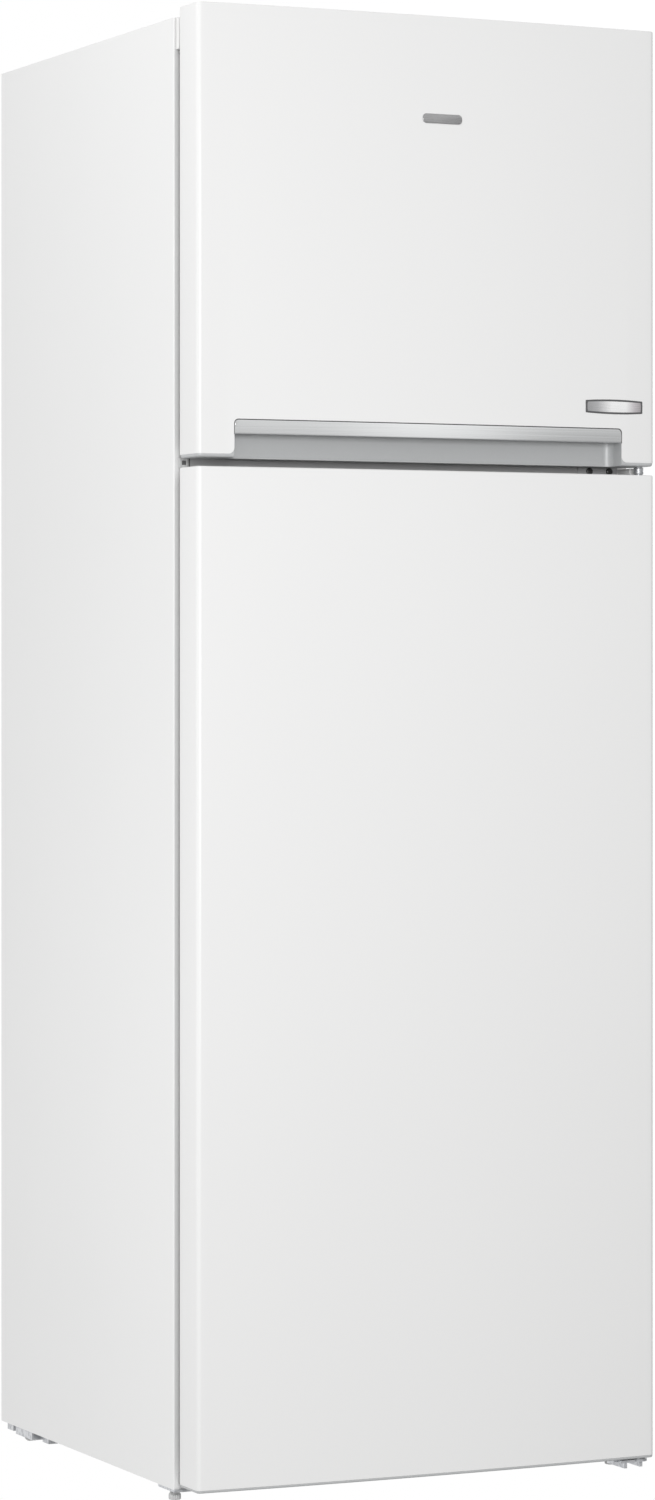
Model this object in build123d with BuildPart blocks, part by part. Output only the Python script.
"""Top-freezer refrigerator: cabinet, two hinged doors, shelves, drawers and refrigeration circuit.

Millimetres. Origin on the floor below the middle of the bounding box, front towards -Y, up is +Z.
"""

from build123d import *
import os

os.makedirs("parts", exist_ok=True)

# ---- overall ----
WIDTH = 595.0
HEIGHT = 1725.0
DEPTH = 631.7
BOW = 7.3  # how far the middle of a door front stands ahead of its side edges
PLATE_PROUD = 0.8  # badge and label plate stand this far ahead of the door
HALF = WIDTH / 2

# ---- planes along Y ----
FRONT = -DEPTH / 2 + PLATE_PROUD
DOOR_EDGE = FRONT + BOW
DOOR_BACK = DOOR_EDGE + 52.0
LINER_BACK = DOOR_BACK + 1.5
CAB_FRONT = DOOR_EDGE + 69.0
CAB_BACK = DEPTH / 2
FOAM_FRONT = CAB_FRONT + 2.3
DYKE_BACK = CAB_FRONT + 34.0

# ---- cabinet shell ----
SHEET = 0.8
SIDE_BOTTOM = 15.0
CAB_TOP = 1715.0
FLANGE = 19.0
SHELL_CORNER = 4.0
SHELL_IN = HALF - SHEET
FASCIA_LOW = 1678.0
FASCIA_PROUD = 5.5
BASE_TOP = 30.0
COMP_FRONT = 100.0  # compressor compartment
COMP_TOP = 254.0

# ---- cavities ----
FREEZER_X = 232.5
FREEZER_Z = (1235.0, 1650.0)
FREEZER_BACK = 250.0
FRIDGE_X = 252.0
FRIDGE_Z = (92.0, 1167.0)
FRIDGE_BACK = 262.0
HUMP_Y = 60.0
HUMP_Z = 300.0
WALL = 1.5
MULLION_Z = (1170.0, 1232.0)

# ---- doors ----
FREEZER_DOOR_Z = (1208.7, 1725.0)
CAP_LOW = 1205.0  # the bottom cap's rounded lip shows below the skin
FRIDGE_DOOR_Z = (21.0, 1194.6)
FRIDGE_SKIN_LOW = 24.0
SKIN = 0.7
FRONT_CORNER = 6.0
REAR_CORNER = 2.0
GASKET_HALF = 289.0
GASKET_WIDE = 16.0
GASKET_GAP = 0.4
RING_WIDE = 26.0
FREEZER_RING_X = 222.0
FREEZER_RING_Z = (1247.0, 1638.0)
FRIDGE_RING_X = 240.0
FRIDGE_RING_Z = (104.0, 1157.0)
RACK_DEEP = 88.0

# ---- handle ----
POCKET_HALF = 252.0
POCKET_BACK = -281.0
STRIP_Z = (1232.3, 1248.5)
STRIP_THICK = 4.0
POCKET_TOP = 1262.0

# ---- hinges ----
PIN_X = 287.0
PIN_Y = DOOR_EDGE + 20.0
PIN_R = 4.5
RUN = 0.05  # radial running clearance

# ---- feet and rollers ----
FOOT_X = 287.0
FOOT_Y = DOOR_EDGE + 90.0
STEM_R = 4.0
ROLLER_X = 287.0
ROLLER_Y = 240.0
ROLLER_R = 17.0


def block(x, y, z, mode=Mode.ADD):
    """Box between a (low, high) pair along each axis."""
    with Locations(((x[0] + x[1]) / 2, (y[0] + y[1]) / 2, (z[0] + z[1]) / 2)):
        Box(abs(x[1] - x[0]), abs(y[1] - y[0]), abs(z[1] - z[0]), mode=mode)


def rod_z(x, y, z, radius, mode=Mode.ADD):
    """Upright cylinder over the z pair."""
    with Locations((x, y, (z[0] + z[1]) / 2)):
        Cylinder(radius, z[1] - z[0], mode=mode)


def rod_y(x, y, z, radius, mode=Mode.ADD):
    """Cylinder along Y over the y pair."""
    with Locations((x, (y[0] + y[1]) / 2, z)):
        Cylinder(radius, y[1] - y[0], rotation=(90, 0, 0), mode=mode)


def rod_x(x, y, z, radius, mode=Mode.ADD):
    """Cylinder along X over the x pair."""
    with Locations(((x[0] + x[1]) / 2, y, z)):
        Cylinder(radius, x[1] - x[0], rotation=(0, 90, 0), mode=mode)


def door_section(inset):
    """Bowed door section, drawn inset from the true outline."""
    with BuildSketch() as section:
        with BuildLine():
            ThreePointArc((-HALF, DOOR_EDGE), (0, FRONT), (HALF, DOOR_EDGE))
            Line((HALF, DOOR_EDGE), (HALF, DOOR_BACK))
            Line((HALF, DOOR_BACK), (-HALF, DOOR_BACK))
            Line((-HALF, DOOR_BACK), (-HALF, DOOR_EDGE))
        make_face()
        fillet(section.vertices().group_by(Axis.Y)[0], radius=FRONT_CORNER)
        fillet(section.vertices().group_by(Axis.Y)[-1], radius=REAR_CORNER)
        if inset:
            offset(amount=-inset)
    return section.sketch


def door_slab(z, inset=0.0, mode=Mode.ADD, half=None, back=None):
    """Door section over the z pair, cut to +-half in X and to the back plane if they are given."""
    section = door_section(inset)
    with BuildSketch(Plane.XY.offset(z[0])) as slab:
        add(section)
        if half is not None:
            with Locations((0, (FRONT - 5 + back) / 2)):
                Rectangle(2 * half, back - FRONT + 5, mode=Mode.INTERSECT)
    extrude(to_extrude=slab.sketch, amount=z[1] - z[0], mode=mode)


def ring(half, z, width, y, corner, mode=Mode.ADD):
    """Rectangular frame in the XZ plane, over the y pair."""
    with BuildSketch(Plane.XZ.offset(-y[1])) as frame:
        with Locations((0, (z[0] + z[1]) / 2)):
            RectangleRounded(2 * half, z[1] - z[0], corner)
            inner = max(corner - width, 3.0)
            RectangleRounded(2 * (half - width), z[1] - z[0] - 2 * width, inner, mode=Mode.SUBTRACT)
    extrude(to_extrude=frame.sketch, amount=y[1] - y[0], mode=mode)


def yz_profile(points, half):
    """Closed YZ polygon spread over X from -half to +half."""
    with BuildSketch(Plane.YZ.offset(-half)) as profile:
        with BuildLine():
            Polyline(*points, close=True)
        make_face()
    return profile


# ---------------------------------------------------------------- cabinet shell
with BuildPart() as side_panel_right:
    with BuildSketch(Plane.XY.offset(SIDE_BOTTOM)) as outer:
        with Locations((HALF - FLANGE / 2, (CAB_FRONT + CAB_BACK) / 2)):
            Rectangle(FLANGE, CAB_BACK - CAB_FRONT)
        fillet(outer.vertices().group_by(Axis.X)[-1].sort_by(Axis.Y)[0], radius=SHELL_CORNER)
    extrude(amount=CAB_TOP - SIDE_BOTTOM)
    with BuildSketch(Plane.XY.offset(SIDE_BOTTOM)) as inner:
        with Locations((HALF - FLANGE / 2 - SHEET, (CAB_FRONT + CAB_BACK) / 2)):
            Rectangle(FLANGE, CAB_BACK - CAB_FRONT - 2 * SHEET)
        fillet(inner.vertices().group_by(Axis.X)[-1].sort_by(Axis.Y)[0], radius=SHELL_CORNER - SHEET)
    extrude(amount=CAB_TOP - SIDE_BOTTOM, mode=Mode.SUBTRACT)
side_panel_right.part.label = "side_panel_right"
export_step(side_panel_right.part, "parts/side_panel_right.step")

with BuildPart() as side_panel_left:
    add(mirror(side_panel_right.part, about=Plane.YZ, mode=Mode.PRIVATE))
    for hole_z, hole_r in ((1201.0, 3.0), (28.0, 4.0)):
        rod_y(-284.4, (CAB_FRONT - 1, CAB_FRONT + 2), hole_z, hole_r, Mode.SUBTRACT)
side_panel_left.part.label = "side_panel_left"
export_step(side_panel_left.part, "parts/side_panel_left.step")

with BuildPart() as top_panel:
    block((-296, 296), (FOAM_FRONT, CAB_BACK - SHEET), (CAB_TOP - SHEET, CAB_TOP))
    block((-278.3, 278.3), (CAB_FRONT, FOAM_FRONT), (CAB_TOP - SHEET, CAB_TOP))
    block((-278.3, 278.3), (CAB_FRONT, CAB_FRONT + SHEET), (FREEZER_Z[1], CAB_TOP))
top_panel.part.label = "top_panel"
export_step(top_panel.part, "parts/top_panel.step")

with BuildPart() as top_fascia:
    block((-294.5, 294.5), (CAB_FRONT - FASCIA_PROUD, CAB_FRONT), (FASCIA_LOW, CAB_TOP))
    fillet(top_fascia.faces().sort_by(Axis.Y)[0].edges(), radius=2.0)
top_fascia.part.label = "top_fascia"
export_step(top_fascia.part, "parts/top_fascia.step")

with BuildPart() as back_panel:
    block((-296, 296), (CAB_BACK - 2 * SHEET, CAB_BACK - SHEET), (COMP_TOP + 1, CAB_TOP - SHEET))
back_panel.part.label = "back_panel"
export_step(back_panel.part, "parts/back_panel.step")

with BuildPart() as base_panel:
    with BuildSketch(Plane.YZ.offset(-296)):
        with BuildLine():
            Polyline(
                (FOAM_FRONT, BASE_TOP),
                (COMP_FRONT + SHEET, BASE_TOP),
                (COMP_FRONT + SHEET, COMP_TOP),
                (305, COMP_TOP),
                (305, COMP_TOP + SHEET),
                (COMP_FRONT, COMP_TOP + SHEET),
                (COMP_FRONT, BASE_TOP + SHEET),
                (FOAM_FRONT, BASE_TOP + SHEET),
                close=True,
            )
        make_face()
    extrude(amount=592)
base_panel.part.label = "base_panel"
export_step(base_panel.part, "parts/base_panel.step")

with BuildPart() as front_base_rail:
    block((-297.3, 297.3), (CAB_FRONT - 2, CAB_FRONT + 46), (12, 15))
    block((-278.3, 278.3), (CAB_FRONT, CAB_FRONT + SHEET), (15, 80))
    block((-290, 290), (CAB_FRONT + 44, CAB_FRONT + 46), (15, BASE_TOP))
    for foot_x in (-FOOT_X, FOOT_X):
        rod_z(foot_x, FOOT_Y, (11, 16), STEM_R + RUN, Mode.SUBTRACT)
front_base_rail.part.label = "front_base_rail"
export_step(front_base_rail.part, "parts/front_base_rail.step")

with BuildPart() as mullion_strip:
    block((-277.6, 277.6), (CAB_FRONT, CAB_FRONT + SHEET), MULLION_Z)
mullion_strip.part.label = "mullion_strip"
export_step(mullion_strip.part, "parts/mullion_strip.step")

with BuildPart() as hinge_hole_plugs:
    for hole_z, hole_r in ((1201.0, 3.0), (28.0, 4.0)):
        block((-291.4, -280.4), (CAB_FRONT - 1.0, CAB_FRONT), (hole_z - 6, hole_z + 6))
        rod_y(-284.4, (CAB_FRONT - 2, CAB_FRONT + 1), hole_z, hole_r - 0.4, Mode.SUBTRACT)
hinge_hole_plugs.part.label = "hinge_hole_plugs"
export_step(hinge_hole_plugs.part, "parts/hinge_hole_plugs.step")

# ---------------------------------------------------------------- liners and foam
FREEZER_SHELF_Z = 1440.0
SHELF_LEVELS = (600.0, 790.0, 980.0)
CRISPER_COVER_Z = 400.0
RIB_X = 16.0

with BuildPart() as freezer_void:
    block((-FREEZER_X - WALL, FREEZER_X + WALL), (FOAM_FRONT, FREEZER_BACK + WALL),
          (FREEZER_Z[0] - WALL, FREEZER_Z[1] + WALL))
    fillet(freezer_void.edges().filter_by(Axis.Y), radius=16.5)

with BuildPart() as freezer_liner:
    add(freezer_void.part)
    block((-293.4, 293.4), (CAB_FRONT + SHEET, FOAM_FRONT), (1201.5, 1713.5))
    with BuildSketch(Plane.XZ.offset(-FREEZER_BACK)) as opening:
        with Locations((0, sum(FREEZER_Z) / 2)):
            RectangleRounded(2 * FREEZER_X, FREEZER_Z[1] - FREEZER_Z[0], 15)
    extrude(amount=FREEZER_BACK - CAB_FRONT + 5, mode=Mode.SUBTRACT)
    for side in (-1, 1):
        block((side * FREEZER_X, side * (FREEZER_X - 9)), (-150, 180), (FREEZER_SHELF_Z - 6, FREEZER_SHELF_Z))
freezer_liner.part.label = "freezer_liner"
export_step(freezer_liner.part, "parts/freezer_liner.step")


def fridge_profile(grow, front):
    """Fridge cavity section in YZ, grown outwards, with the step over the compressor."""
    low, high = FRIDGE_Z[0] - grow, FRIDGE_Z[1] + grow
    points = (
        (front, low),
        (HUMP_Y - grow, low),
        (HUMP_Y - grow, HUMP_Z - grow),
        (FRIDGE_BACK + grow, HUMP_Z - grow),
        (FRIDGE_BACK + grow, high),
        (front, high),
    )
    with BuildSketch(Plane.YZ.offset(-FRIDGE_X - grow)) as rounded:
        with BuildLine():
            Polyline(*points, close=True)
        make_face()
        behind = [v for v in rounded.vertices() if v.X > front + 1]
        convex = [v for v in behind if not (abs(v.X - HUMP_Y + grow) < 1 and v.Y > 200)]
        fillet(convex, radius=10 + grow)
    return rounded.sketch


with BuildPart() as fridge_void:
    extrude(to_extrude=fridge_profile(WALL, FOAM_FRONT), amount=2 * (FRIDGE_X + WALL))

with BuildPart() as fridge_liner:
    add(fridge_void.part)
    block((-293.4, 293.4), (CAB_FRONT + SHEET, FOAM_FRONT), (31, 1201.5))
    extrude(to_extrude=fridge_profile(0, CAB_FRONT - 5), amount=2 * FRIDGE_X, mode=Mode.SUBTRACT)
    for level in SHELF_LEVELS + (CRISPER_COVER_Z,):
        for side in (-1, 1):
            block((side * FRIDGE_X, side * (FRIDGE_X - RIB_X)), (-140, 230), (level - 10, level - 4))
fridge_liner.part.label = "fridge_liner"
export_step(fridge_liner.part, "parts/fridge_liner.step")

with BuildPart() as cabinet_insulation:
    block((-SHELL_IN + 0.2, SHELL_IN - 0.2), (FOAM_FRONT, CAB_BACK - 2 * SHEET),
          (BASE_TOP + SHEET, CAB_TOP - SHEET))
    chamfer(cabinet_insulation.edges().filter_by(Axis.Z).group_by(Axis.Y)[0], length=3)
    block((-300, 300), (COMP_FRONT, 320), (0, COMP_TOP + SHEET), Mode.SUBTRACT)
    add(freezer_void.part, mode=Mode.SUBTRACT)
    add(fridge_void.part, mode=Mode.SUBTRACT)
    block((-250, 250), (CAB_BACK - 2 * SHEET - 5.8, 320), (COMP_TOP - 2, 1650), Mode.SUBTRACT)
cabinet_insulation.part.label = "cabinet_insulation"
export_step(cabinet_insulation.part, "parts/cabinet_insulation.step")

# ---------------------------------------------------------------- hinges
ARM_R = 9.0
with BuildPart() as top_hinge:
    block((240, 292), (CAB_FRONT - 8, -190), (CAB_TOP, CAB_TOP + 3))
    block((PIN_X - ARM_R, PIN_X + ARM_R), (PIN_Y, CAB_FRONT - 8), (CAB_TOP, CAB_TOP + 3))
    rod_z(PIN_X, PIN_Y, (CAB_TOP, CAB_TOP + 3), ARM_R)
    rod_z(PIN_X, PIN_Y, (1702, CAB_TOP), PIN_R)
    for screw_x, screw_y in ((250, -225), (250, -200), (280, -205)):
        rod_z(screw_x, screw_y, (CAB_TOP - 1, CAB_TOP + 4), 2.2, Mode.SUBTRACT)
top_hinge.part.label = "top_hinge"
export_step(top_hinge.part, "parts/top_hinge.step")

with BuildPart() as top_hinge_cover:
    block((236, 296.5), (CAB_FRONT - 10, -184), (CAB_TOP, HEIGHT - 0.5))
    fillet(top_hinge_cover.faces().sort_by(Axis.Z)[-1].edges(), radius=1.5)
    block((237.5, 295), (CAB_FRONT - 8.5, -185.5), (CAB_TOP - 1, HEIGHT - 2), Mode.SUBTRACT)
    block((PIN_X - ARM_R - 0.5, 298), (CAB_FRONT - 12, CAB_FRONT - 7), (CAB_TOP - 1, 1719), Mode.SUBTRACT)
top_hinge_cover.part.label = "top_hinge_cover"
export_step(top_hinge_cover.part, "parts/top_hinge_cover.step")

with BuildPart() as middle_hinge:
    block((230, 294), (CAB_FRONT - 3, CAB_FRONT), (1195.2, 1207.8))
    block((283, 292), (PIN_Y, CAB_FRONT - 2), (1196.4, 1203.8))
    rod_z(PIN_X, PIN_Y, (1196.0, 1204.2), 5.8)
    rod_z(PIN_X, PIN_Y, (1181, 1222), PIN_R)
    for screw_x in (245, 272):
        rod_y(screw_x, (CAB_FRONT - 4, CAB_FRONT + 1), 1201.6, 2.2, Mode.SUBTRACT)
middle_hinge.part.label = "middle_hinge"
export_step(middle_hinge.part, "parts/middle_hinge.step")

with BuildPart() as bottom_hinge:
    block((254, 297), (PIN_Y, CAB_FRONT - 0.0), (15, 18))
    rod_z(PIN_X, PIN_Y, (15, 18), 10)
    block((258, 277), (PIN_Y - 10, PIN_Y), (15, 18))
    block((244, 292), (CAB_FRONT - 3, CAB_FRONT), (18, 42))
    block((262, 266), (PIN_Y - 10, PIN_Y + 33), (8.5, 15))
    block((285, 289), (PIN_Y - 6, PIN_Y + 24), (8.5, 15))
    rod_z(PIN_X, PIN_Y, (18, 20), 8)
    rod_z(PIN_X, PIN_Y, (18, 36), PIN_R)
    for screw_x in (252, 271):
        rod_y(screw_x, (CAB_FRONT - 4, CAB_FRONT + 1), 34, 2.2, Mode.SUBTRACT)
bottom_hinge.part.label = "bottom_hinge"
export_step(bottom_hinge.part, "parts/bottom_hinge.step")

with BuildPart() as hinge_screws:
    for screw_x, screw_y in ((250, -225), (250, -200), (280, -205)):
        rod_z(screw_x, screw_y, (CAB_TOP, CAB_TOP + 3), 2.2)
        rod_z(screw_x, screw_y, (CAB_TOP + 3, CAB_TOP + 5.4), 4.4)
    for screw_x, screw_z in ((245, 1201.6), (272, 1201.6), (252, 34), (271, 34)):
        rod_y(screw_x, (CAB_FRONT - 3, CAB_FRONT), screw_z, 2.2)
        rod_y(screw_x, (CAB_FRONT - 5.4, CAB_FRONT - 3), screw_z, 4.4)
hinge_screws.part.label = "hinge_screws"
export_step(hinge_screws.part, "parts/hinge_screws.step")

# ---------------------------------------------------------------- feet and rollers
with BuildPart() as front_foot_left:
    rod_z(-FOOT_X, FOOT_Y, (0, 7), 7.3)
    rod_z(-FOOT_X, FOOT_Y, (7, 9), 6.4)
    rod_z(-FOOT_X, FOOT_Y, (9, 28), STEM_R)
    chamfer(front_foot_left.faces().sort_by(Axis.Z)[0].edges(), length=0.8)
front_foot_left.part.label = "front_foot_left"
export_step(front_foot_left.part, "parts/front_foot_left.step")

with BuildPart() as front_foot_right:
    add(mirror(front_foot_left.part, about=Plane.YZ, mode=Mode.PRIVATE))
front_foot_right.part.label = "front_foot_right"
export_step(front_foot_right.part, "parts/front_foot_right.step")

with BuildPart() as compressor_plate:
    block((-286, 286), (112, 310), (12, 15))
    block((-286, 286), (182, 202), (4, 12))
    block((-283, 283), (185, 199), (3, 10), Mode.SUBTRACT)
    for side in (-1, 1):
        block((side * 278, side * 297), (214, 266), (11, 16), Mode.SUBTRACT)
        block((side * 282, side * 290), (292, 312), (4.6, 15))
        block((side * 270, side * 290), (288, 312), (12, 15))
        block((side * 276, side * 278), (214, 266), (5, 30))
        block((side * 294, side * 296), (214, 266), (5, 30))
        block((side * 276, side * 296), (212, 214), (5, 30))
        block((side * 276, side * 296), (266, 268), (5, 30))
        rod_x((ROLLER_X * side - 9, ROLLER_X * side + 9), ROLLER_Y, ROLLER_R, 3)
    for foot_x in (-20, 140):
        for foot_y in (165, 265):
            rod_z(foot_x, foot_y, (11, 16), 5, Mode.SUBTRACT)
compressor_plate.part.label = "compressor_plate"
export_step(compressor_plate.part, "parts/compressor_plate.step")


def roller(centre_x):
    """Rear roller wheel about the X axis."""
    rod_x((centre_x - 6.5, centre_x + 6.5), ROLLER_Y, ROLLER_R, ROLLER_R)
    rod_x((centre_x - 8, centre_x + 8), ROLLER_Y, ROLLER_R, 3 + RUN, Mode.SUBTRACT)


with BuildPart() as rear_roller_left:
    roller(-ROLLER_X + 1)
rear_roller_left.part.label = "rear_roller_left"
export_step(rear_roller_left.part, "parts/rear_roller_left.step")

with BuildPart() as rear_roller_right:
    roller(ROLLER_X - 1)
rear_roller_right.part.label = "rear_roller_right"
export_step(rear_roller_right.part, "parts/rear_roller_right.step")

# ---------------------------------------------------------------- compressor compartment
COMP_X = 60.0
COMP_Y = 215.0
with BuildPart() as compressor:
    with BuildSketch(Plane.XY.offset(34)):
        with Locations((COMP_X, COMP_Y)):
            RectangleRounded(150, 118, 52)
    extrude(amount=146)
    fillet(compressor.faces().sort_by(Axis.Z)[-1].edges(), radius=30)
    fillet(compressor.faces().sort_by(Axis.Z)[0].edges(), radius=20)
    block((COMP_X - 90, COMP_X + 90), (COMP_Y - 60, COMP_Y + 60), (27, 30))
    block((COMP_X - 60, COMP_X + 60), (COMP_Y - 45, COMP_Y + 45), (30, 60))
    for foot_x in (-20, 140):
        for foot_y in (165, 265):
            rod_z(foot_x, foot_y, (26, 31), 6, Mode.SUBTRACT)
    block((COMP_X + 60, COMP_X + 105), (COMP_Y - 28, COMP_Y + 28), (80, 140))
    rod_y(COMP_X - 40, (COMP_Y - 66, COMP_Y), 150, 4)
    rod_y(COMP_X, (COMP_Y - 70, COMP_Y), 130, 5)
compressor.part.label = "compressor"
export_step(compressor.part, "parts/compressor.step")

with BuildPart() as compressor_grommets:
    for foot_x in (-20, 140):
        for foot_y in (165, 265):
            rod_z(foot_x, foot_y, (15, 27), 10)
            rod_z(foot_x, foot_y, (12, 15), 5)
            rod_z(foot_x, foot_y, (27, 33), 6)
            rod_z(foot_x, foot_y, (11, 34), 3, Mode.SUBTRACT)
compressor_grommets.part.label = "compressor_grommets"
export_step(compressor_grommets.part, "parts/compressor_grommets.step")

with BuildPart() as drip_tray:
    block((COMP_X - 95, COMP_X + 95), (130, 290), (180, 215))
    fillet(drip_tray.edges().filter_by(Axis.Z), radius=12)
    block((COMP_X - 93, COMP_X + 93), (132, 288), (182, 216), Mode.SUBTRACT)
drip_tray.part.label = "drip_tray"
export_step(drip_tray.part, "parts/drip_tray.step")

COIL_Y = CAB_BACK - 2 * SHEET - 3.0
COIL_X = [-225 + 50 * i for i in range(10)]
coil_points = [(COIL_X[0], 180)]
for index, coil_x in enumerate(COIL_X):
    ends = (320, 1630) if index % 2 == 0 else (1630, 320)
    start = ends[0] if index else 180
    coil_points += [(coil_x, start)] if index else []
    coil_points += [(coil_x, ends[1])]
coil_points[-1] = (COIL_X[-1], 180)
with BuildPart() as condenser_coil:
    with BuildLine(Plane.XZ.offset(-COIL_Y)) as coil_path:
        FilletPolyline(*coil_points, radius=20)
    with BuildSketch(Plane(origin=coil_path.line @ 0, z_dir=coil_path.line % 0)):
        Circle(2.5)
    sweep()
    rod_z(COIL_X[-1], COIL_Y - 5, (130, 200), 6.5)
condenser_coil.part.label = "condenser_coil"
export_step(condenser_coil.part, "parts/condenser_coil.step")

with BuildPart() as rear_cover:
    block((-290, 290), (CAB_BACK - SHEET - 1.2, CAB_BACK - SHEET), (20, COMP_TOP - 1))
    with BuildSketch(Plane.XZ.offset(-CAB_BACK - 1)) as vents:
        with Locations((0, 140)):
            with GridLocations(44, 60, 11, 3):
                SlotOverall(40, 8, rotation=90)
    extrude(to_extrude=vents.sketch, amount=6, mode=Mode.SUBTRACT)
    rod_y(-255, (CAB_BACK - 5, CAB_BACK + 1), 60, 9, Mode.SUBTRACT)
rear_cover.part.label = "rear_cover"
export_step(rear_cover.part, "parts/rear_cover.step")

with BuildPart() as cord_gland:
    rod_y(-255, (CAB_BACK - 16, CAB_BACK - 0.1), 60, 8.9)
    rod_y(-255, (CAB_BACK - 4.5, CAB_BACK - SHEET - 1.2), 60, 12)
    rod_y(-255, (CAB_BACK - 17, CAB_BACK + 1), 60, 3.5, Mode.SUBTRACT)
cord_gland.part.label = "cord_gland"
export_step(cord_gland.part, "parts/cord_gland.step")

# ---------------------------------------------------------------- fridge interior
KNOB_X = 60.0
KNOB_Z = 1147.0
HOUSING_Y = (-130.0, 20.0)
with BuildPart() as control_housing:
    block((-120, 120), HOUSING_Y, (1129, FRIDGE_Z[1]))
    fillet(control_housing.edges().filter_by(Axis.Z), radius=10)
    fillet(control_housing.faces().sort_by(Axis.Z)[0].edges(), radius=3)
    block((-117, 117), (-127, 17), (1132, 1170), Mode.SUBTRACT)
    rod_y(KNOB_X, (-132, -126), KNOB_Z, 3 + RUN, Mode.SUBTRACT)
control_housing.part.label = "control_housing"
export_step(control_housing.part, "parts/control_housing.step")

with BuildPart() as thermostat_knob:
    rod_y(KNOB_X, (-143, -130.5), KNOB_Z, 15)
    chamfer(thermostat_knob.faces().sort_by(Axis.Y)[0].edges(), length=1.0)
    rod_y(KNOB_X, (-130.5, -120), KNOB_Z, 3)
    block((KNOB_X - 2, KNOB_X + 2), (-145, -143), (KNOB_Z - 12, KNOB_Z + 12))
thermostat_knob.part.label = "thermostat_knob"
export_step(thermostat_knob.part, "parts/thermostat_knob.step")

with BuildPart() as fridge_shelves:
    for level in SHELF_LEVELS:
        block((-243, 243), (-128, 218), (level, level + 4))
fridge_shelves.part.label = "fridge_shelves"
export_step(fridge_shelves.part, "parts/fridge_shelves.step")

with BuildPart() as shelf_trims:
    for level in SHELF_LEVELS:
        block((-245.5, 245.5), (-137, -121), (level - 4, level + 8))
        block((-245.5, 245.5), (208, 224), (level - 4, level + 8))
        block((-243, 243), (-128, 218), (level, level + 4), Mode.SUBTRACT)
shelf_trims.part.label = "shelf_trims"
export_step(shelf_trims.part, "parts/shelf_trims.step")

with BuildPart() as crisper_cover:
    block((-248, 248), (-118, 228), (CRISPER_COVER_Z - 4, CRISPER_COVER_Z + 4))
    block((-248, 248), (-130, -118), (CRISPER_COVER_Z - 4, CRISPER_COVER_Z + 10))
    fillet(crisper_cover.edges().filter_by(Axis.X).group_by(Axis.Y)[0], radius=2.5)
crisper_cover.part.label = "crisper_cover"
export_step(crisper_cover.part, "parts/crisper_cover.step")


def stepped_tub(inset, low_z, high_z):
    """Drawer body section in YZ with the step that clears the compressor recess."""
    points = (
        (-112 + inset, low_z),
        (48 - inset, low_z),
        (48 - inset, HUMP_Z + 6 + inset),
        (196 - inset, HUMP_Z + 6 + inset),
        (196 - inset, high_z),
        (-112 + inset, high_z),
    )
    return yz_profile(points, 230 - inset).sketch


with BuildPart() as crisper_drawer:
    extrude(to_extrude=stepped_tub(0, 92.6, 384), amount=460)
    extrude(to_extrude=stepped_tub(2.5, 95.1, 390), amount=455, mode=Mode.SUBTRACT)
    block((-232, 232), (-120, -112), (100, 384))
    block((-70, 70), (-121, -114), (330, 356), Mode.SUBTRACT)
crisper_drawer.part.label = "crisper_drawer"
export_step(crisper_drawer.part, "parts/crisper_drawer.step")

with BuildPart() as fridge_air_duct:
    block((-75, 75), (236, FRIDGE_BACK), (440, 1120))
    fillet(fridge_air_duct.edges().filter_by(Axis.Z).group_by(Axis.Y)[0], radius=8)
    block((-71, 71), (239, FRIDGE_BACK + 1), (444, 1116), Mode.SUBTRACT)
    for vent_z in (520, 700, 890, 1060):
        with BuildSketch(Plane.XZ.offset(-240)) as vent:
            with Locations((0, vent_z)):
                with GridLocations(0, 14, 1, 3):
                    SlotOverall(90, 7)
        extrude(to_extrude=vent.sketch, amount=6, mode=Mode.SUBTRACT)
fridge_air_duct.part.label = "fridge_air_duct"
export_step(fridge_air_duct.part, "parts/fridge_air_duct.step")

# ---------------------------------------------------------------- freezer interior
with BuildPart() as freezer_shelf:
    block((-230, 230), (-140, 178), (FREEZER_SHELF_Z, FREEZER_SHELF_Z + 4))
    block((-230, 230), (-146, -140), (FREEZER_SHELF_Z, FREEZER_SHELF_Z + 14))
freezer_shelf.part.label = "freezer_shelf"
export_step(freezer_shelf.part, "parts/freezer_shelf.step")

TRAY_X = 150.0
TRAY_Z = 1374.0
with BuildPart() as ice_maker_frame:
    block((TRAY_X - 65, TRAY_X + 65), (-130, 100), (FREEZER_Z[0], 1400))
    block((TRAY_X - 62.5, TRAY_X + 62.5), (-127, 97.5), (FREEZER_Z[0] + 1.5, 1401), Mode.SUBTRACT)
    block((TRAY_X - 62.5, TRAY_X + 62.5), (-131, -126), (FREEZER_Z[0] + 1.5, 1352), Mode.SUBTRACT)
    rod_y(TRAY_X, (-131, -126), TRAY_Z, STEM_R + RUN, Mode.SUBTRACT)
    rod_y(TRAY_X, (97, 101), TRAY_Z, STEM_R + RUN, Mode.SUBTRACT)
ice_maker_frame.part.label = "ice_maker_frame"
export_step(ice_maker_frame.part, "parts/ice_maker_frame.step")

with BuildPart() as ice_tray:
    block((TRAY_X - 53, TRAY_X + 53), (-122, 92), (TRAY_Z - 20, TRAY_Z + 10))
    with BuildSketch(Plane.XY.offset(TRAY_Z - 17)) as cells:
        with Locations((TRAY_X, -15)):
            with GridLocations(50, 30, 2, 7):
                RectangleRounded(46, 27, 5)
    extrude(to_extrude=cells.sketch, amount=40, taper=0, mode=Mode.SUBTRACT)
    block((TRAY_X - 50, TRAY_X + 50), (-119, 89), (TRAY_Z + 2, TRAY_Z + 11), Mode.SUBTRACT)
    rod_y(TRAY_X, (-134, -122), TRAY_Z, STEM_R)
    rod_y(TRAY_X, (92, 99.5), TRAY_Z, STEM_R)
    rod_y(TRAY_X, (-146, -132), TRAY_Z, 17)
    block((TRAY_X - 2.5, TRAY_X + 2.5), (-149, -146), (TRAY_Z - 14, TRAY_Z + 14))
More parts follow.
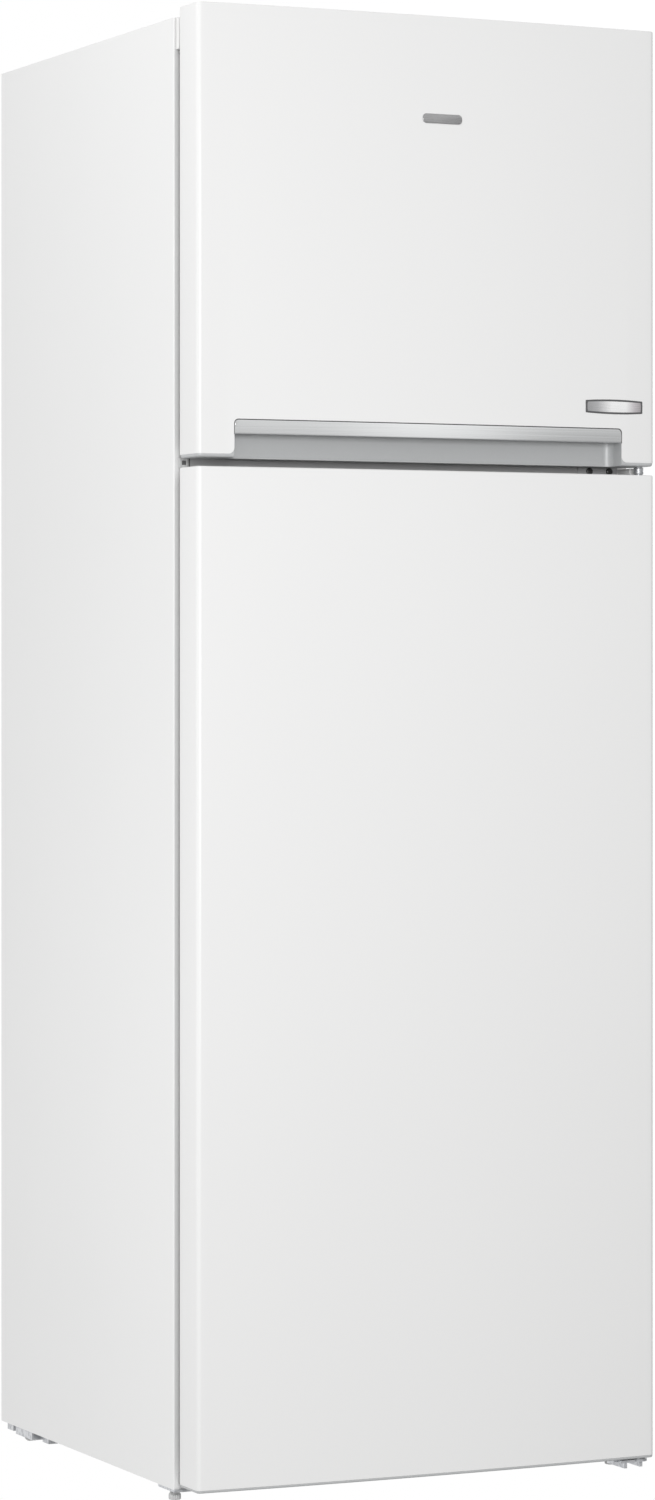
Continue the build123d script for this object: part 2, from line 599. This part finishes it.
ice_tray.part.label = "ice_tray"
export_step(ice_tray.part, "parts/ice_tray.step")

with BuildPart() as ice_bucket:
    block((TRAY_X - 60, TRAY_X + 60), (-124, 80), (FREEZER_Z[0] + 2, 1308))
    fillet(ice_bucket.edges().filter_by(Axis.Z), radius=6)
    block((TRAY_X - 57.5, TRAY_X + 57.5), (-121.5, 77.5), (FREEZER_Z[0] + 4.5, 1310), Mode.SUBTRACT)
ice_bucket.part.label = "ice_bucket"
export_step(ice_bucket.part, "parts/ice_bucket.step")

FAN_Z = 1560.0
with BuildPart() as evaporator:
    for row_y in (207, 229):
        for row_z in range(1290, 1441, 30):
            rod_x((-195, 195), row_y, row_z, 4)
    for fin in range(23):
        fin_x = -187 + 17 * fin
        block((fin_x - 0.5, fin_x + 0.5), (197, 239), (1276, 1454))
    for side, starts in ((1, (1290, 1350, 1410)), (-1, (1320, 1380))):
        for row_z in starts:
            for row_y in (207, 229):
                rod_z(side * 195, row_y, (row_z, row_z + 30), 4)
                with Locations((side * 195, row_y, row_z), (side * 195, row_y, row_z + 30)):
                    Sphere(4)
evaporator.part.label = "evaporator"
export_step(evaporator.part, "parts/evaporator.step")

with BuildPart() as evaporator_cover:
    block((-228, 228), (183, 186), (1240, 1645))
    for side in (-1, 1):
        block((side * 225, side * 228), (186, FREEZER_BACK), (1252, 1633))
    with BuildSketch(Plane.XZ.offset(-187)) as grille:
        with Locations((0, FAN_Z)):
            with PolarLocations(30, 12):
                SlotOverall(34, 7)
        with Locations((0, 1258)):
            with GridLocations(36, 0, 11, 1):
                SlotOverall(30, 8)
    extrude(to_extrude=grille.sketch, amount=6, mode=Mode.SUBTRACT)
evaporator_cover.part.label = "evaporator_cover"
export_step(evaporator_cover.part, "parts/evaporator_cover.step")

with BuildPart() as fan_motor:
    rod_y(0, (216, 244), FAN_Z, 22)
    rod_y(0, (196, 216), FAN_Z, 2)
    block((-60, 60), (244, FREEZER_BACK), (FAN_Z - 12, FAN_Z + 12))
fan_motor.part.label = "fan_motor"
export_step(fan_motor.part, "parts/fan_motor.step")

with BuildPart() as fan_blade:
    rod_y(0, (197, 213), FAN_Z, 14)
    for turn in range(5):
        with Locations(Location((0, 205, FAN_Z), (0, 72 * turn, 0))):
            with Locations(Location((0, 0, 30), (0, 0, 28))):
                Box(26, 1.5, 38)
    rod_y(0, (193, 215), FAN_Z, 2 + RUN, Mode.SUBTRACT)
fan_blade.part.label = "fan_blade"
export_step(fan_blade.part, "parts/fan_blade.step")

# ---------------------------------------------------------------- freezer door
with BuildPart() as freezer_door_skin:
    door_slab(FREEZER_DOOR_Z)
    door_slab((FREEZER_DOOR_Z[0] - 1, FREEZER_DOOR_Z[1] + 1), SKIN, Mode.SUBTRACT)
    block((-285, 285), (DOOR_BACK - 2, DOOR_BACK + 2), (1200, 1730), Mode.SUBTRACT)
    block((262, 300), (PIN_Y - 14.2, DOOR_BACK + 1), (1713, 1726), Mode.SUBTRACT)
    with BuildSketch(Plane.XZ.offset(290)) as mouth:
        with BuildLine():
            Polyline(
                (-POCKET_HALF - 7, 1200),
                (-POCKET_HALF - 7, FREEZER_DOOR_Z[0]),
                (-POCKET_HALF, FREEZER_DOOR_Z[0] + 8),
                (-POCKET_HALF, STRIP_Z[1] + 0.4),
                (POCKET_HALF, STRIP_Z[1] + 0.4),
                (POCKET_HALF, FREEZER_DOOR_Z[0] + 8),
                (POCKET_HALF + 7, FREEZER_DOOR_Z[0]),
                (POCKET_HALF + 7, 1200),
                close=True,
            )
        make_face()
        fillet(mouth.vertices().group_by(Axis.Y)[-1], radius=5)
    extrude(to_extrude=mouth.sketch, amount=40, mode=Mode.SUBTRACT)
    badge_x = (-15, 37)
    block(badge_x, (FRONT - 2, FRONT + 3), (1599, 1611), Mode.SUBTRACT)
freezer_door_skin.part.label = "freezer_door_skin"
export_step(freezer_door_skin.part, "parts/freezer_door_skin.step")

with BuildPart() as freezer_door_top_cap:
    door_slab((1700, 1724), SKIN)
    block((PIN_X - ARM_R - 3, 300), (PIN_Y - 14, DOOR_BACK + 1), (1713, 1730), Mode.SUBTRACT)
    rod_z(PIN_X, PIN_Y, (1699, 1714), PIN_R + RUN, Mode.SUBTRACT)
freezer_door_top_cap.part.label = "freezer_door_top_cap"
export_step(freezer_door_top_cap.part, "parts/freezer_door_top_cap.step")

with BuildPart() as freezer_door_bottom_cap:
    door_slab((CAP_LOW, 1285), SKIN)
    lip = freezer_door_bottom_cap.faces().sort_by(Axis.Z)[0].edges()
    fillet([e for e in lip if e.center().Y < DOOR_BACK - 4], radius=2.8)
    block((-POCKET_HALF, POCKET_HALF), (-330, POCKET_BACK), (1200, STRIP_Z[0]), Mode.SUBTRACT)
    door_slab((STRIP_Z[0] - 1, POCKET_TOP), 7.5, Mode.SUBTRACT, POCKET_HALF, POCKET_BACK)
    door_slab((STRIP_Z[0] - 1, STRIP_Z[1] + 0.2), 0, Mode.SUBTRACT, POCKET_HALF, -303)
    door_slab((STRIP_Z[0], STRIP_Z[1] + 0.2), STRIP_THICK + 0.1, Mode.ADD, POCKET_HALF, -290)
    door_slab((STRIP_Z[0] - 1, STRIP_Z[1] + 1), 7.5, Mode.SUBTRACT, POCKET_HALF, POCKET_BACK)
    rod_z(PIN_X, PIN_Y, (1204, 1226), PIN_R + RUN, Mode.SUBTRACT)
    upright = freezer_door_bottom_cap.edges().filter_by(Axis.Z)
    rear = [e for e in upright if abs(e.center().Y - POCKET_BACK) < 1]
    fillet([e for e in rear if abs(abs(e.center().X) - POCKET_HALF) < 1], radius=10)
freezer_door_bottom_cap.part.label = "freezer_door_bottom_cap"
export_step(freezer_door_bottom_cap.part, "parts/freezer_door_bottom_cap.step")

with BuildPart() as handle_strip:
    door_slab((STRIP_Z[0], STRIP_Z[1]), 0, Mode.ADD, POCKET_HALF - 0.4, -290)
    door_slab((STRIP_Z[0] - 1, STRIP_Z[1] + 1), STRIP_THICK, Mode.SUBTRACT)
    fillet(handle_strip.edges().filter_by(Axis.Y).group_by(Axis.Z)[-1], radius=4.6)
handle_strip.part.label = "handle_strip"
export_step(handle_strip.part, "parts/handle_strip.step")


def inner_liner(z, half, z_ring):
    """Door inner liner: back plate with the raised hollow frame that enters the cavity."""
    block((-294.5, 294.5), (DOOR_BACK, LINER_BACK), (z[0] + 4, z[1] - 4))
    ring(half, z_ring, RING_WIDE, (LINER_BACK, DYKE_BACK), 14)
    ring(half - WALL, (z_ring[0] + WALL, z_ring[1] - WALL), RING_WIDE - 2 * WALL,
         (DOOR_BACK, DYKE_BACK - WALL), 12.5, Mode.SUBTRACT)


def door_foam(z, half, z_ring):
    """Foam filling of a door between its caps, reaching into the raised frame of the liner."""
    door_slab(z, SKIN)
    block((-284.8, 284.8), (DOOR_BACK - SKIN - 0.5, DOOR_BACK), z)
    ring(half - WALL, (z_ring[0] + WALL, z_ring[1] - WALL), RING_WIDE - 2 * WALL,
         (DOOR_BACK - 0.5, DYKE_BACK - WALL), 12.5)


def door_gasket(z):
    """Hollow magnetic gasket around the back of a door."""
    ring(GASKET_HALF, z, GASKET_WIDE, (LINER_BACK, CAB_FRONT - GASKET_GAP), 8)
    ring(GASKET_HALF - 2, (z[0] + 2, z[1] - 2), GASKET_WIDE - 4,
         (LINER_BACK + 3, CAB_FRONT - GASKET_GAP - 2.5), 6, Mode.SUBTRACT)


def door_rack(z, half):
    """Open-topped rack hung on the inside of a door."""
    y = (LINER_BACK, LINER_BACK + RACK_DEEP)
    block((-half, half), y, z)
    block((-half + 2, half - 2), (y[0] + 2, y[1] - 2), (z[0] + 2, z[1] + 1), Mode.SUBTRACT)


with BuildPart() as freezer_door_liner:
    inner_liner((FREEZER_DOOR_Z[0], 1716), FREEZER_RING_X, FREEZER_RING_Z)
freezer_door_liner.part.label = "freezer_door_liner"
export_step(freezer_door_liner.part, "parts/freezer_door_liner.step")

with BuildPart() as freezer_door_foam:
    door_foam((1285, 1700), FREEZER_RING_X, FREEZER_RING_Z)
    block((-300, 300), (DOOR_BACK - SKIN - 1, DOOR_BACK), (1200, 1285), Mode.SUBTRACT)
freezer_door_foam.part.label = "freezer_door_foam"
export_step(freezer_door_foam.part, "parts/freezer_door_foam.step")

with BuildPart() as freezer_door_gasket:
    door_gasket((1213, 1672))
freezer_door_gasket.part.label = "freezer_door_gasket"
export_step(freezer_door_gasket.part, "parts/freezer_door_gasket.step")

with BuildPart() as freezer_door_racks:
    for rack_z in (1282, 1450):
        door_rack((rack_z, rack_z + 62), FREEZER_RING_X - RING_WIDE - 0.5)
freezer_door_racks.part.label = "freezer_door_racks"
export_step(freezer_door_racks.part, "parts/freezer_door_racks.step")

with BuildPart() as badge_bar:
    door_slab((1599.3, 1610.7), -PLATE_PROUD, Mode.ADD, 60, -310)
    door_slab((1590, 1620), SKIN, Mode.SUBTRACT)
    with BuildSketch(Plane.XZ.offset(300)) as badge_face:
        with Locations((11, 1605)):
            RectangleRounded(51.4, 11.4, 5)
    extrude(to_extrude=badge_face.sketch, amount=30, mode=Mode.INTERSECT)
badge_bar.part.label = "badge_bar"
export_step(badge_bar.part, "parts/badge_bar.step")

with BuildPart() as label_plate:
    door_slab((1266, 1283.6), -PLATE_PROUD, Mode.ADD, 290, -303)
    door_slab((1260, 1290), 0, Mode.SUBTRACT)
    with BuildSketch(Plane.XZ.offset(290)) as label_face:
        with Locations((241.5, 1274.8)):
            RectangleRounded(78, 17.4, 3)
    extrude(to_extrude=label_face.sketch, amount=40, mode=Mode.INTERSECT)
label_plate.part.label = "label_plate"
export_step(label_plate.part, "parts/label_plate.step")

# ---------------------------------------------------------------- fridge door
with BuildPart() as fridge_door_skin:
    door_slab((FRIDGE_SKIN_LOW, FRIDGE_DOOR_Z[1]))
    door_slab((20, 1196), SKIN, Mode.SUBTRACT)
    block((-285, 285), (DOOR_BACK - 2, DOOR_BACK + 2), (20, 1196), Mode.SUBTRACT)
fridge_door_skin.part.label = "fridge_door_skin"
export_step(fridge_door_skin.part, "parts/fridge_door_skin.step")

with BuildPart() as fridge_door_top_cap:
    door_slab((1165, 1194), SKIN)
    door_slab((1172, 1195), 9, Mode.SUBTRACT, POCKET_HALF, -279)
    rod_z(PIN_X, PIN_Y, (1178, 1195), PIN_R + RUN, Mode.SUBTRACT)
fridge_door_top_cap.part.label = "fridge_door_top_cap"
export_step(fridge_door_top_cap.part, "parts/fridge_door_top_cap.step")

with BuildPart() as fridge_door_bottom_cap:
    door_slab((FRIDGE_DOOR_Z[0], FRIDGE_SKIN_LOW), 0.3)
    fillet(fridge_door_bottom_cap.faces().sort_by(Axis.Z)[0].edges(), radius=1.8)
    door_slab((FRIDGE_SKIN_LOW, 60), SKIN)
    rod_z(PIN_X, PIN_Y, (20, 40), PIN_R + RUN, Mode.SUBTRACT)
fridge_door_bottom_cap.part.label = "fridge_door_bottom_cap"
export_step(fridge_door_bottom_cap.part, "parts/fridge_door_bottom_cap.step")

with BuildPart() as fridge_door_liner:
    inner_liner((22, 1194), FRIDGE_RING_X, FRIDGE_RING_Z)
fridge_door_liner.part.label = "fridge_door_liner"
export_step(fridge_door_liner.part, "parts/fridge_door_liner.step")

with BuildPart() as fridge_door_foam:
    door_foam((60, 1165), FRIDGE_RING_X, FRIDGE_RING_Z)
fridge_door_foam.part.label = "fridge_door_foam"
export_step(fridge_door_foam.part, "parts/fridge_door_foam.step")

with BuildPart() as fridge_door_gasket:
    door_gasket((56, 1190))
fridge_door_gasket.part.label = "fridge_door_gasket"
export_step(fridge_door_gasket.part, "parts/fridge_door_gasket.step")

with BuildPart() as fridge_door_racks:
    for rack_z in (136, 450, 670, 890):
        door_rack((rack_z, rack_z + 90), FRIDGE_RING_X - RING_WIDE - 0.5)
fridge_door_racks.part.label = "fridge_door_racks"
export_step(fridge_door_racks.part, "parts/fridge_door_racks.step")
